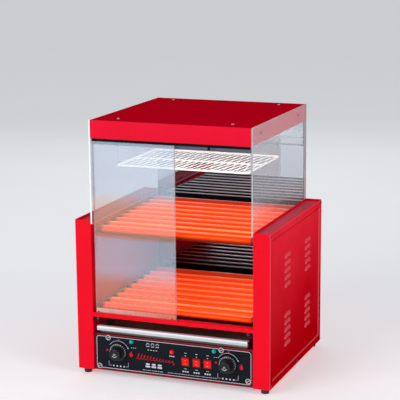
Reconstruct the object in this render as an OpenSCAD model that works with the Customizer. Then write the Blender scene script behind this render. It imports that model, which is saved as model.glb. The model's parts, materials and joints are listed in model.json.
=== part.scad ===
// Two-tier hot dog roller grill with a glass display case.
// X runs to the right, Y to the back and Z up. The origin is at the middle of
// the footprint, on the surface that the feet stand on.

/* [Overall size] */
// Width over the two side housings
width = 560; // [540:5:580]
// Depth of the housings
depth = 470; // [460:5:480]
// Height of the side housings
housing_top = 438; // [438:1:446]
// Height of the top cover
cover_top = 713; // [700:1:730]
// Width of one side housing, as seen from the front
housing_w = 47.6; // [46:0.2:50]

/* [Rollers] */
// Number of rollers on each tier
rollers = 9; // [5:2:9]
// Distance from one roller to the next
roller_pitch = 46.5; // [44:0.5:47]
// Outer diameter of a roller tube
roller_d = 25.4; // [22:0.2:26]
// Height of the front roller of the upper tier
upper_z = 405; // [400:1:405]
// Height of the front roller of the lower tier
lower_z = 187; // [184:1:190]
// Rise of each tier towards the back, in degrees
tier_tilt = 1.2; // [0:0.1:1.2]

/* [Doors and glass] */
// Width of one sliding door pane
pane_w = 236; // [232:1:240]
// Thickness of all the panes
glass_t = 4; // [3:0.5:4]
// How far the outer pane stands out from its left stop
outer_door_gap = 5; // [0:1:10]

/* [Controls] */
// Distance of each dial from the middle of the panel
dial_x = 160; // [150:1:165]
// Height of the dials above the floor
dial_z = 72; // [65:0.2:75]
// Diameter of a dial skirt
dial_d = 50; // [40:1:50]
// Place of the first rocker switch
switch_x = 38; // [30:1:45]
// Distance from one rocker switch to the next
switch_pitch = 32; // [28:1:34]

/* [Hidden] */
$fn = 48;
gap = 0.2;
sheet = 1.5;
skin = 1.2;

// Overall places
foot_h = 15;
knob_reach = 24;
gland_reach = 12;
front = -(depth + knob_reach + gland_reach) / 2 + knob_reach;
back = front + depth;
inner_x = width / 2 - housing_w;
base_z = foot_h;
cover_lip = 49;
lip_z = cover_top - cover_lip;
recess_z = housing_top - 9;

// Glass case
case_x = inner_x - gap;
cover_x = case_x - glass_t - gap;
glass_bottom = recess_z - 1;
glass_screw_z = cover_top - 23;

// Rollers and their drive, in the frame of one tier
first_roller = 45;
chain_links = 7;
chain_pitch = roller_pitch / chain_links;
teeth = 12;
chain_r = chain_pitch / 2 / sin(180 / teeth);
chain_half_h = 2.4;
chain_roller_r = 1.6;
tooth_tip_r = chain_r + 1.7;
tooth_root_r = chain_r - 1.8;
tooth_room = tooth_tip_r + chain_roller_r + 0.3;
sprocket_x = inner_x + 8.7;
sprocket_w = 3;
span = (rollers - 1) * roller_pitch;
motor_drop = span / 2 * tan(30);
tube_end = inner_x - 10.4;
tube_wall = 1;
collar_end = inner_x - 2.5;
journal_r = 8;
journal_bore_r = 5;
drive_end = inner_x + 16;
idle_end = inner_x + 8;
bush_r = 10;
bush_flange_r = 12;
bush_clearance = 0.05;
rod_r = 3.5;
rod_end = inner_x + 36;
bracket_x = inner_x + 30;
bracket_h = 16;
bracket_overhang = 24;
shaft_r = 4;

// Front of the cooking chamber
rail_bottom = 168;
rail_top = 180;
track_y = front + 2;
track_wall = 1.5;
groove = 6;
track_depth = 2 * groove + 3 * track_wall;
outer_pane_y = track_y + track_wall + (groove - glass_t) / 2;
inner_pane_y = outer_pane_y + groove + track_wall;
pane_bottom = rail_bottom + sheet + track_wall + 0.8;
pane_top = lip_z + 16;
track_roof = lip_z + 20;
mirror_y = front + 457;

// Drip tray and base
deck_z = 120;
tray_x = 216;
tray_back = front + 430;
tray_floor = deck_z + 0.1;
tray_top = 143;
tray_lip = 12.5;
tray_lip_reach = 5;

// Cable gland and rear vents
gland_z = 60;
gland_r = 8;
cable_r = 4.2;
vent_x = 110;
vent_w = 60;
vent_z = 40;
vent_step = 9;
vents = 8;

// Control panel
spindle_r = 3;
panel_y = front + 6.2;
label_t = 0.8;
label_face = panel_y - label_t;
label_x = inner_x - 5.4;
label_z = [20.5, 115];
corner_screws = [[-217, 27], [-190, 110], [141, 110], [217, 32]];
lamp_r = 6.4;
heating_lamp_x = 120.5;
heating_lamp_z = 105;
power_lamp_x = -1.5;
power_lamp_z = 89;
switch_z = 67;
switch_count = 3;
rocker_pivot_y = label_face + 4.4;
rocker_tilt = 10;
rocker_w = 19.4;
pocket_w = 20;
pocket_h = 23.2;
body_w = 22;
body_h = 24.8;
bezel_w = 24.4;
bezel_h = 27.6;

// Warming rack and lamp
rack_x = 188;
rack_y = [front + 85, front + 356];
rack_z = 578;
rim_r = 2.5;
mesh_pitch = 17.2;
mesh_turn = 73;
lamp_y = front + 130;
lamp_z = 656;
lamp_half = 190;
hanger_r = 1.5;
hanger_inset = 15;

// Louvres of the side covers
rim_w = 20;
louvre_y = [front + 154, front + 340];
louvre_z = [142, 307];
louvre_len = 54;
louvre_step = 20;

// Fixings
screw_r = 2;
screw_hole_r = 2.1;
screw_head_r = 4;
label_screw_head_r = 7.5;
screw_head_h = 2;
foot_r = 12;
foot_inset = 20;

// ---------------------------------------------------------------- helpers

// A block between two opposite corners.
module block(low, high) {
    translate(low) cube([high[0] - low[0], high[1] - low[1], high[2] - low[2]]);
}

// A rod along X between two places.
module x_rod(x0, x1, r) {
    translate([x0, 0, 0]) rotate([0, 90, 0]) cylinder(h = x1 - x0, r = r);
}

// A rod along Y between two places.
module y_rod(y0, y1, r) {
    translate([0, y1, 0]) rotate([90, 0, 0]) cylinder(h = y1 - y0, r = r);
}

// The frame of one tier: its origin is the axis of the front roller.
module tier(z) {
    translate([0, front + first_roller, z]) rotate([tier_tilt, 0, 0]) children();
}

// Both tiers.
module tiers() {
    for (z = [upper_z, lower_z]) tier(z) children();
}

// Each roller place of one tier.
module roller_places() {
    for (i = [0:rollers - 1]) translate([0, i * roller_pitch, 0]) children();
}

// A shape and its mirror image on the other side.
module both_sides() {
    children();
    mirror([1, 0, 0]) children();
}

// ---------------------------------------------------------------- base

// Vent slots and gland hole at the back.
module rear_openings() {
    y0 = back - 5;
    y1 = back + 1;
    for (sx = [-1, 1], i = [0:vents - 1]) {
        z = vent_z + i * vent_step;
        block([sx * vent_x - vent_w / 2, y0, z], [sx * vent_x + vent_w / 2, y1, z + vent_step / 2]);
    }
    translate([0, 0, gland_z]) y_rod(y0, y1, gland_r + bush_clearance);
}

// Tray-carrying base between the housings: floor, deck, back and side walls.
module base_pan() {
    x = inner_x - gap;
    y0 = panel_y + 16;
    y1 = back - skin - gap;
    color("firebrick")
    difference() {
        union() {
            block([-x, y0, base_z], [x, y1, base_z + sheet]);
            block([-x, panel_y + sheet + gap, deck_z - sheet], [x, y1, deck_z]);
            block([-x, y1 - sheet, base_z], [x, y1, deck_z]);
            both_sides() block([x - sheet, y0, base_z], [x, y1, deck_z]);
        }
        rear_openings();
    }
}

// Rubber feet under the corners of the housings.
module feet() {
    color("dimgray")
    both_sides() for (y = [front + foot_inset, back - foot_inset]) {
        translate([width / 2 - foot_inset, y, 0]) {
            cylinder(h = foot_h, r1 = foot_r - 1.5, r2 = foot_r);
        }
    }
}

// ---------------------------------------------------------------- housings

// Places of the screws that hold a side cover, as [y, z].
function cover_screw_places() = [
    for (y = [front + 8, (front + back) / 2, back - 8])
        for (z = [base_z + 8, housing_top - 8]) [y, z]
];

// The right housing: walls, flanges for the cover, recessed top, roller holes.
module housing() {
    wall_x = width / 2 - skin;
    flange = 14;
    color("crimson")
    difference() {
        union() {
            block([inner_x, front, base_z], [inner_x + sheet, back, housing_top]);
            block([inner_x, front, base_z], [wall_x, front + sheet, housing_top]);
            block([inner_x, back - sheet, base_z], [wall_x, back, housing_top]);
            block([inner_x, front, base_z], [wall_x, back, base_z + sheet]);
            block([inner_x, front, recess_z], [wall_x, back, recess_z + skin]);
            block([cover_x - gap, front + 30, glass_bottom - gap - skin],
                  [inner_x + sheet, back - 2 * sheet, glass_bottom - gap]);
            difference() {
                block([wall_x - sheet, front, base_z], [wall_x, back, housing_top]);
                block([wall_x - 2 * sheet, front + flange, base_z + flange],
                      [wall_x + 1, back - flange, recess_z - 6]);
            }
        }
        tiers() roller_places() x_rod(inner_x - 1, inner_x + sheet + 1, bush_r + bush_clearance);
        for (p = cover_screw_places()) {
            translate([0, p[0], p[1]]) x_rod(wall_x - 2 * sheet, wall_x + 1, screw_hole_r);
        }
    }
}

// One pressed louvre at a place on the side cover, open at its lower edge.
module louvre(y, z, field_x) {
    rise = 3.6;
    translate([0, y + louvre_len / 2, z]) rotate([90, 0, 0]) linear_extrude(louvre_len) {
        polygon([[field_x - 0.1, 6], [field_x, 6], [field_x + rise, -3],
                 [field_x + rise, -5], [field_x - 0.1, -5]]);
    }
}

// The hollow behind one louvre.
module louvre_hollow(y, z, field_x) {
    rise = 3.6;
    length = louvre_len - 2;
    translate([0, y + length / 2, z]) rotate([90, 0, 0]) linear_extrude(length) {
        polygon([[field_x - 2, 4.6], [field_x - 0.6, 4.6], [field_x + rise - 1, -3.2],
                 [field_x + rise - 1, -6], [field_x + 0.05, -6], [field_x + 0.05, -4],
                 [field_x - 2, -4]]);
    }
}

// Places of all the louvres of one cover, as [y, z].
function louvre_places() = [
    for (y = louvre_y) for (group = louvre_z) for (i = [-2:2]) [y, group + i * louvre_step]
];

// The right side cover: raised rim, recessed field and louvres.
module side_cover() {
    x = width / 2;
    field_x = x - skin;
    color("firebrick")
    difference() {
        union() {
            difference() {
                block([field_x, front, base_z], [x, back, housing_top]);
                block([field_x - 1, front + rim_w, base_z + rim_w],
                      [x + 1, back - rim_w, housing_top - rim_w]);
            }
            block([field_x - skin, front + rim_w - skin, base_z + rim_w - skin],
                  [field_x, back - rim_w + skin, housing_top - rim_w + skin]);
            for (p = louvre_places()) louvre(p[0], p[1], field_x);
        }
        for (p = louvre_places()) louvre_hollow(p[0], p[1], field_x);
        for (p = cover_screw_places()) {
            translate([0, p[0], p[1]]) x_rod(field_x - 1, x + 1, screw_hole_r);
        }
    }
}

// ---------------------------------------------------------------- panels

// Outer rear panel: wide between the housings, narrower between the glasses.
module rear_panel() {
    x = inner_x - gap;
    color("firebrick")
    difference() {
        union() {
            block([-x, back - skin, base_z], [x, back, glass_bottom - gap]);
            block([-cover_x, back - skin, base_z], [cover_x, back, lip_z - gap]);
        }
        rear_openings();
    }
}

// Cable gland in the rear panel, with a bore for the mains cable.
module cable_gland() {
    nut_r = 11;
    color("black")
    translate([0, 0, gland_z]) difference() {
        union() {
            y_rod(back - 9, back + 4, gland_r);
            y_rod(back, back + 4, nut_r);
            y_rod(back - 7, back - skin - gap - sheet, nut_r);
            translate([0, back + 4, 0]) rotate([-90, 0, 0]) {
                cylinder(h = gland_reach - 4, r1 = gland_r + 1, r2 = gland_r - 2);
            }
        }
        y_rod(back - 10, back + gland_reach + 1, cable_r);
    }
}

// Polished inner wall behind the rollers, folded back to the rear panel.
module mirror_panel() {
    x = cover_x - gap;
    z0 = deck_z + gap;
    z1 = lip_z - gap;
    color("silver") {
        block([-x, mirror_y, z0], [x, mirror_y + skin, z1]);
        both_sides() block([x - skin, mirror_y, z0], [x, back - skin, z1]);
    }
}

// Red cross bar: front face, shelf for the lower track and two end tabs.
module front_rail() {
    x = inner_x - gap;
    tab = 24;
    color("red")
    difference() {
        union() {
            block([-x, front, rail_bottom], [x, front + sheet, rail_top]);
            block([-x, front, rail_bottom], [x, front + 24, rail_bottom + sheet]);
            both_sides() {
                block([x - tab, front + 3, rail_bottom - 12],
                      [x, front + 3 + sheet, rail_bottom + sheet]);
            }
        }
        both_sides() translate([x - tab / 2 - 2, 0, rail_bottom - 5]) {
            y_rod(front, front + 10, screw_hole_r);
        }
    }
}

// Holes through the control panel and its label.
module panel_holes() {
    y0 = label_face - 1;
    y1 = panel_y + sheet + 1;
    both_sides() translate([dial_x, 0, dial_z]) y_rod(y0, y1, spindle_r + 1);
    both_sides() translate([heating_lamp_x, 0, heating_lamp_z]) {
        y_rod(y0, y1, lamp_r - 1 + bush_clearance);
    }
    translate([power_lamp_x, 0, power_lamp_z]) y_rod(y0, y1, lamp_r - 1 + bush_clearance);
    for (p = corner_screws) translate([p[0], 0, p[1]]) y_rod(y0, y1, screw_hole_r);
    for (i = [0:switch_count - 1]) {
        translate([switch_x + i * switch_pitch, 0, switch_z]) {
            block([-body_w / 2 - 0.1, y0, -body_h / 2 - 0.1], [body_w / 2 + 0.1, y1, body_h / 2 + 0.1]);
        }
    }
}

// Folded panel below the drip tray that carries the controls.
module control_panel() {
    x = inner_x - gap;
    color("darkred")
    difference() {
        union() {
            block([-x, panel_y, base_z], [x, panel_y + sheet, deck_z]);
            block([-x, panel_y, base_z], [x, panel_y + 15, base_z + sheet]);
        }
        panel_holes();
    }
}

// Printed label on the control panel.
module panel_label() {
    color("darkslategray")
    difference() {
        block([-label_x, label_face, label_z[0]], [label_x, panel_y, label_z[1]]);
        panel_holes();
    }
}

// ---------------------------------------------------------------- controls

// A dial knob: bevelled skirt, tapered grip with a pointer rib, and spindle.
module dial(x) {
    skirt_r = dial_d / 2;
    skirt_y = label_face - 0.6;
    tip = front - knob_reach;
    grip_r = 18;
    color("dimgray")
    translate([x, 0, dial_z]) rotate([90, 0, 0]) {
        translate([0, 0, -skirt_y]) {
            cylinder(h = 3, r = skirt_r);
            translate([0, 0, 3]) cylinder(h = 3, r1 = skirt_r, r2 = grip_r + 1.5);
        }
        translate([0, 0, -skirt_y + 4]) cylinder(h = skirt_y - tip - 5.5, r1 = grip_r, r2 = grip_r - 2.5);
        translate([0, 0, -tip - 2]) {
            difference() {
                cylinder(h = 2, r = grip_r - 4);
                translate([0, 0, 0.8]) cylinder(h = 2, r = grip_r - 8);
            }
            cylinder(h = 1.6, r = 4);
        }
        translate([-skirt_r + 2, -1.2, -skirt_y + 3]) cube([8, 2.4, 3.6]);
        translate([0, 0, -panel_y - sheet - 14]) cylinder(h = 20, r = spindle_r);
    }
}

// Thermostats behind the dials, each with a bore for its spindle.
module thermostats() {
    y0 = panel_y + sheet + 0.4;
    color("lightgray")
    both_sides() translate([dial_x, 0, dial_z]) difference() {
        union() {
            block([-19, y0, -18], [19, y0 + 26, 18]);
            y_rod(y0 + 26, y0 + 32, 12);
        }
        y_rod(y0 - 1, y0 + 16, spindle_r + bush_clearance);
    }
}

// One rocker: a shallow V across its face, and a pivot stub on each side.
module rocker(i) {
    end_v = 7.8;
    half_h = 10.2;
    color("red")
    translate([switch_x + i * switch_pitch, rocker_pivot_y, switch_z]) {
        rotate([rocker_tilt, 0, 0]) {
            translate([-rocker_w / 2, 0, 0]) rotate([90, 0, 90]) linear_extrude(rocker_w) {
                polygon([[-end_v, -half_h], [-6, 0], [-end_v, half_h], [-3, half_h + 0.4],
                         [6, 8], [6, -8], [-3, -half_h - 0.4]]);
            }
            x_rod(-rocker_w / 2 - 0.9, rocker_w / 2 + 0.9, 1.2);
        }
    }
}

// Switch bodies: a bezel on the label and a box with an open pocket behind it.
module switch_bodies() {
    bezel_y = label_face - 1.6;
    body_back = panel_y + 22;
    color("black")
    for (i = [0:switch_count - 1]) {
        translate([switch_x + i * switch_pitch, 0, switch_z]) difference() {
            union() {
                block([-bezel_w / 2, bezel_y, -bezel_h / 2], [bezel_w / 2, label_face, bezel_h / 2]);
                block([-body_w / 2, bezel_y, -body_h / 2], [body_w / 2, body_back, body_h / 2]);
            }
            block([-pocket_w / 2, bezel_y - 1, -pocket_h / 2], [pocket_w / 2, body_back - 2, pocket_h / 2]);
            translate([0, rocker_pivot_y, 0]) x_rod(-rocker_w / 2 - 1, rocker_w / 2 + 1, 1.25);
        }
    }
}

// An indicator lamp: rim and dome on the label, body through the panel.
module lamp_lens(x, z) {
    translate([x, 0, z]) {
        rotate([90, 0, 0]) translate([0, 0, -label_face]) {
            cylinder(h = 1.4, r = lamp_r);
            translate([0, 0, 1.4]) intersection() {
                translate([0, 0, -1.6]) sphere(r = lamp_r);
                cylinder(h = lamp_r, r = lamp_r);
            }
        }
        y_rod(label_face, panel_y + 18, lamp_r - 1);
    }
}

module power_lamp() {
    color("red") lamp_lens(power_lamp_x, power_lamp_z);
}

module heating_lamps() {
    color("lightseagreen") {
        lamp_lens(-heating_lamp_x, heating_lamp_z);
        lamp_lens(heating_lamp_x, heating_lamp_z);
    }
}

// ---------------------------------------------------------------- tray

// Drip tray: shallow pan with a folded front lip that is its handle.
module drip_tray() {
    lip_y = front - tray_lip_reach;
    wall_y = front + 8;
    color("gainsboro") {
        block([-tray_x, wall_y, tray_floor], [tray_x, tray_back, tray_floor + skin]);
        block([-tray_x, wall_y, tray_floor], [tray_x, wall_y + skin, tray_top]);
        block([-tray_x, tray_back - skin, tray_floor], [tray_x, tray_back, tray_top]);
        both_sides() {
            block([tray_x - skin, wall_y, tray_floor], [tray_x, tray_back, tray_top]);
        }
        block([-tray_x - 2, lip_y, tray_top], [tray_x + 2, wall_y + skin, tray_top + skin]);
        block([-tray_x - 2, lip_y, tray_top + skin - tray_lip],
              [tray_x + 2, lip_y + 2 * skin, tray_top + skin]);
    }
}

// ---------------------------------------------------------------- glass case

// Places of the screws in the roof of the cover, as [x, y].
function roof_screw_places() = [
    for (x = [-162.5, 162.5]) for (y = [front + 41, back - 41]) [x, y]
];

// Places along Y of the screws through each side glass.
glass_screw_y = [front + 70, back - 70];

// Folded top cover: a deep lip all round, with the sides cut back for the panes.
module top_cover() {
    color("darkred")
    difference() {
        block([-cover_x, front, lip_z], [cover_x, back, cover_top]);
        block([-cover_x + skin, front + skin, lip_z - 1],
              [cover_x - skin, back - skin, cover_top - skin]);
        block([-cover_x - 1, front + skin, lip_z - 1],
              [cover_x + 1, track_y + track_depth + 2, cover_top - skin]);
        for (p = roof_screw_places()) {
            translate([p[0], p[1], cover_top - 3]) cylinder(h = 5, r = screw_hole_r);
        }
        for (y = glass_screw_y) {
            translate([0, y, glass_screw_z]) x_rod(-inner_x, inner_x, screw_hole_r);
        }
    }
}

// The right side glass, from inside the housing up to the top of the cover.
module side_glass() {
    color("lightcyan", 0.4)
    difference() {
        block([case_x - glass_t, front, glass_bottom], [case_x, back, cover_top]);
        for (y = glass_screw_y) {
            translate([0, y, glass_screw_z]) x_rod(0, inner_x, screw_hole_r);
        }
    }
}

// A sliding door pane from its left edge.
module door_pane(x, y) {
    color("lightcyan", 0.4)
    block([x, y, pane_bottom], [x + pane_w, y + glass_t, pane_top]);
}

module outer_door() {
    door_pane(-cover_x + outer_door_gap, outer_pane_y);
}

module inner_door() {
    door_pane(-cover_x, inner_pane_y);
}

// Aluminium channel with two grooves, on the shelf of the cross bar.
module lower_door_track() {
    x = cover_x;
    z = rail_bottom + sheet;
    color("silver") {
        block([-x, track_y, z], [x, track_y + track_depth, z + track_wall]);
        for (i = [0:2]) {
            y = track_y + i * (groove + track_wall);
            block([-x, y, z], [x, y + track_wall, rail_top - 0.5]);
        }
    }
}

// Aluminium channel under the roof; its rear flange hangs below the lip.
module upper_door_track() {
    x = cover_x - skin - gap;
    flange_z = [lip_z + 2, lip_z + 2, lip_z - 19];
    stop_x = 99;
    color("slategray") {
        block([-x, track_y, track_roof], [x, track_y + track_depth, track_roof + track_wall]);
        for (i = [0:2]) {
            y = track_y + i * (groove + track_wall);
            block([-x, y, flange_z[i]], [x, y + track_wall, track_roof]);
        }
        both_sides() for (px = [stop_x, x - 6]) {
            block([px, track_y + 4, track_roof + track_wall],
                  [px + 6, track_y + 12, cover_top - skin - gap]);
        }
    }
}

// ---------------------------------------------------------------- rack and lamp

// Warming rack: a wire rim with a diamond mesh inside it.
module warming_rack() {
    size_y = rack_y[1] - rack_y[0];
    strip = 1.6;
    color("lightgray") {
        translate([0, rack_y[0], rack_z]) x_rod(-rack_x, rack_x, rim_r);
        translate([0, rack_y[1], rack_z]) x_rod(-rack_x, rack_x, rim_r);
        both_sides() translate([rack_x, 0, rack_z]) y_rod(rack_y[0], rack_y[1], rim_r);
        translate([0, (rack_y[0] + rack_y[1]) / 2, rack_z - 0.6]) linear_extrude(1.2) {
            intersection() {
                square([2 * rack_x, size_y], center = true);
                for (turn = [-mesh_turn, mesh_turn]) rotate(turn) for (i = [-14:14]) {
                    translate([-250, i * mesh_pitch - strip / 2]) square([500, strip]);
                }
            }
        }
    }
}

// Wire hooks that carry the rack from the roof.
module rack_hangers() {
    hook_z = rack_z - rim_r - hanger_r - 0.1;
    side = rim_r + hanger_r + 0.2;
    color("dimgray")
    both_sides() for (y = [rack_y[0] + hanger_inset, rack_y[1] - hanger_inset]) {
        translate([rack_x + side, y, 0]) {
            translate([0, 0, hook_z]) cylinder(h = cover_top - skin - gap - hook_z, r = hanger_r);
            translate([0, 0, hook_z]) x_rod(-2 * side, 0, hanger_r);
            translate([0, 0, hook_z]) sphere(r = hanger_r);
        }
    }
}

// Lamp tube with its two end caps.
module lamp_tube() {
    color("white")
    translate([0, lamp_y, lamp_z]) {
        x_rod(-lamp_half, lamp_half, 8);
        both_sides() x_rod(lamp_half, lamp_half + 6, 3);
    }
}

// Lamp holder: a strip under the roof with a socket at each end.
module lamp_holder() {
    x = lamp_half + 14;
    roof = cover_top - skin - gap;
    color("lightsteelblue")
    difference() {
        union() {
            block([-x, lamp_y - 18, roof - 14], [x, lamp_y + 18, roof]);
            both_sides() {
                block([lamp_half + 1, lamp_y - 10, lamp_z - 12], [x, lamp_y + 10, roof]);
            }
        }
        translate([0, lamp_y, lamp_z]) x_rod(-lamp_half - 8, lamp_half + 8, 3 + bush_clearance);
    }
}

// ---------------------------------------------------------------- rollers

// One roller: tube, collars and hollow journals, with a sprocket at the left.
module roller(i) {
    r = roller_d / 2;
    color("whitesmoke")
    translate([0, i * roller_pitch, 0]) {
        rotate([0, 90, 0]) rotate_extrude() {
            polygon([[journal_bore_r, -drive_end], [journal_r, -drive_end],
                     [journal_r, -collar_end], [bush_r, -collar_end],
                     [bush_r, -tube_end], [r, -tube_end],
                     [r, tube_end], [bush_r, tube_end],
                     [bush_r, collar_end], [journal_r, collar_end],
                     [journal_r, idle_end], [journal_bore_r, idle_end],
                     [journal_bore_r, tube_end - 3], [r - tube_wall, tube_end - 3],
                     [r - tube_wall, -tube_end + 3], [journal_bore_r, -tube_end + 3]]);
        }
        sprocket(journal_r - 1);
    }
}

// Outline of a sprocket whose tooth spaces take the chain rollers.
function tooth_points(a) = [
    for (p = [[-7.8, tooth_root_r], [-5.2, chain_r], [-2, tooth_tip_r],
              [2, tooth_tip_r], [5.2, chain_r], [7.8, tooth_root_r]])
        p[1] * [cos(a + p[0]), sin(a + p[0])]
];

// Sprocket in the chain plane of the left housing, around an axis along X.
module sprocket(bore_r) {
    step = 360 / teeth;
    points = [for (i = [0:teeth - 1]) for (p = tooth_points((i + 0.5) * step)) p];
    translate([-sprocket_x - sprocket_w, 0, 0]) rotate([90, 0, 90]) {
        linear_extrude(sprocket_w) difference() {
            polygon(points);
            circle(r = bore_r);
        }
    }
}

// Flanged bushes in the inner walls of the housings.
module roller_bushes() {
    flange_x = inner_x - 2;
    color("ivory")
    tiers() roller_places() both_sides() difference() {
        union() {
            x_rod(flange_x, inner_x, bush_flange_r);
            x_rod(flange_x, inner_x + 5, bush_r);
        }
        x_rod(flange_x - 1, inner_x + 6, journal_r + bush_clearance);
    }
}

// Fixed heater rods through the rollers.
module heater_rods() {
    color("gray") tiers() roller_places() x_rod(-rod_end, rod_end, rod_r);
}

// Strips in both housings that hold the ends of the heater rods.
module heater_brackets() {
    y0 = -bracket_overhang;
    y1 = span + bracket_overhang;
    leg_x = inner_x + sheet;
    color("lightgray")
    tiers() both_sides() {
        difference() {
            block([bracket_x, y0, -bracket_h / 2], [bracket_x + sheet, y1, bracket_h / 2]);
            roller_places() x_rod(bracket_x - 1, bracket_x + sheet + 1, rod_r + bush_clearance);
        }
        for (y = [y0, y1 - sheet]) {
            block([leg_x, y, -bracket_h / 2], [bracket_x + sheet, y + sheet, bracket_h / 2]);
        }
    }
}

// ---------------------------------------------------------------- drive

// Centres of the first, last and motor sprockets in the plane of one tier.
loop_first = [0, 0];
loop_last = [span, 0];
loop_motor = [span / 2, -motor_drop];
sprocket_centres = concat([for (i = [0:rollers - 1]) [i * roller_pitch, 0]], [loop_motor]);

// A point at a radius and an angle around a centre.
function around(centre, r, a) = centre + r * [cos(a), sin(a)];

// Outline of the chain loop at a radius around its three end sprockets.
function loop_points(r) = concat(
    [for (a = [90:-7.5:-60]) around(loop_last, r, a)],
    [for (a = [-60:-7.5:-120]) around(loop_motor, r, a)],
    [for (a = [-120:-7.5:-270]) around(loop_first, r, a)]
);

// Evenly spaced places from one point to another, without the last one.
function along(p, q, n) = [for (i = [0:n - 1]) p + (q - p) * i / n];

// Places of the chain rollers all the way round the loop.
function chain_roller_places() = let (
    lower_run = span / 2 / cos(30),
    n = round(lower_run / chain_pitch)
) concat(
    along([0, chain_r], [span, chain_r], (rollers - 1) * chain_links),
    [for (a = [90:-30:-30]) around(loop_last, chain_r, a)],
    along(around(loop_last, chain_r, -60), around(loop_motor, chain_r, -60), n),
    [for (a = [-60:-30:-90]) around(loop_motor, chain_r, a)],
    along(around(loop_motor, chain_r, -120), around(loop_first, chain_r, -120), n),
    [for (a = [-120:-30:-240]) around(loop_first, chain_r, a)]
);

// Whether the teeth of every sprocket turn clear of a place on the chain.
function clear_of_teeth(p) = min([for (c = sprocket_centres) norm(p - c)]) > tooth_room;

// Closed chain of one tier: two side plates joined by the rollers between sprockets.
module chain(z) {
    plate = 1;
    inner = sprocket_w + 1;
    x0 = -sprocket_x - sprocket_w - 0.5;
    color("darkgray")
    tier(z) translate([x0, 0, 0]) rotate([90, 0, 90]) {
        for (x = [-plate, inner]) translate([0, 0, x]) linear_extrude(plate) difference() {
            polygon(loop_points(chain_r + chain_half_h));
            polygon(loop_points(chain_r - chain_half_h));
        }
        for (p = chain_roller_places()) if (clear_of_teeth(p)) {
            translate([p[0], p[1], 0]) cylinder(h = inner, r = chain_roller_r, $fn = 24);
        }
    }
}

// Worm gear motors on the inner wall of the left housing.
module gear_motors() {
    box_x0 = -width / 2 + 4;
    box_x1 = -sprocket_x - sprocket_w - 6;
    half = 21;
    color("darkslategray")
    tiers() translate([0, span / 2, -motor_drop]) {
        difference() {
            block([box_x0, -half, -half], [box_x1, half, half]);
            x_rod(box_x0 + 4, box_x1 + 1, shaft_r + bush_clearance);
        }
        translate([(box_x0 + box_x1) / 2, 0, 0]) y_rod(half, half + 62, 9.5);
        for (y = [-17, 17], z = [-17, 17]) {
            translate([0, y, z]) x_rod(box_x1, -inner_x - sheet, 3);
        }
    }
}

// Driving sprocket with its shaft, which turns in the gearbox.
module motor_sprocket(z) {
    color("lightgray")
    tier(z) translate([0, span / 2, -motor_drop]) {
        x_rod(-width / 2 + 10, -sprocket_x + 3, shaft_r);
        sprocket(shaft_r - 1);
    }
}

// ---------------------------------------------------------------- fixings

// A screw with its head outwards along +Z, sunk through a hole below z = 0.
module screw(length, head_r = screw_head_r) {
    difference() {
        cylinder(h = screw_head_h, r1 = head_r, r2 = head_r - 1);
        translate([-head_r, -0.5, screw_head_h - 0.8]) cube([2 * head_r, 1, 2]);
    }
    translate([0, 0, -length]) cylinder(h = length, r = screw_r);
}

module screws() {
    color("silver") {
        both_sides() for (p = cover_screw_places()) {
            translate([width / 2, p[0], p[1]]) rotate([0, 90, 0]) screw(4);
        }
        for (p = corner_screws) {
            translate([p[0], label_face, p[1]]) rotate([90, 0, 0]) screw(6, label_screw_head_r);
        }
        for (p = roof_screw_places()) translate([p[0], p[1], cover_top]) screw(6);
        both_sides() for (y = glass_screw_y) {
            translate([case_x, y, glass_screw_z]) rotate([0, 90, 0]) screw(9);
        }
        both_sides() translate([inner_x - gap - 14, front + 3, rail_bottom - 5]) {
            rotate([90, 0, 0]) screw(5);
        }
    }
}

// ---------------------------------------------------------------- the nodes

base_pan();
feet();
mirror([1, 0, 0]) housing();  // left_housing
housing();  // right_housing
mirror([1, 0, 0]) side_cover();  // left_side_cover
side_cover();  // right_side_cover
rear_panel();
cable_gland();
mirror_panel();
front_rail();
control_panel();
panel_label();
screws();
dial(-dial_x);  // left_dial
dial(dial_x);  // right_dial
rocker(0);  // upper_roller_switch
rocker(1);  // lower_roller_switch
rocker(2);  // light_switch
switch_bodies();
power_lamp();
heating_lamps();
thermostats();
drip_tray();
top_cover();
mirror([1, 0, 0]) side_glass();  // left_glass
side_glass();  // right_glass
outer_door();
inner_door();
upper_door_track();
lower_door_track();
warming_rack();
rack_hangers();
lamp_tube();
lamp_holder();
roller_bushes();
heater_rods();
heater_brackets();
chain(upper_z);  // upper_chain
chain(lower_z);  // lower_chain
gear_motors();
motor_sprocket(upper_z);  // upper_motor_sprocket
motor_sprocket(lower_z);  // lower_motor_sprocket
for (i = [1:rollers]) {
    tier(upper_z) roller(i - 1);
    tier(lower_z) roller(i - 1);
}
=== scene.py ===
"""Looks for the two-tier hot dog roller grill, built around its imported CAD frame.

Shapes are drawn in millimetres in the row frame and scaled to metres when they become pieces.
"""

import json
import math

import bmesh
import bpy
from mathutils import Matrix, Vector


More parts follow.
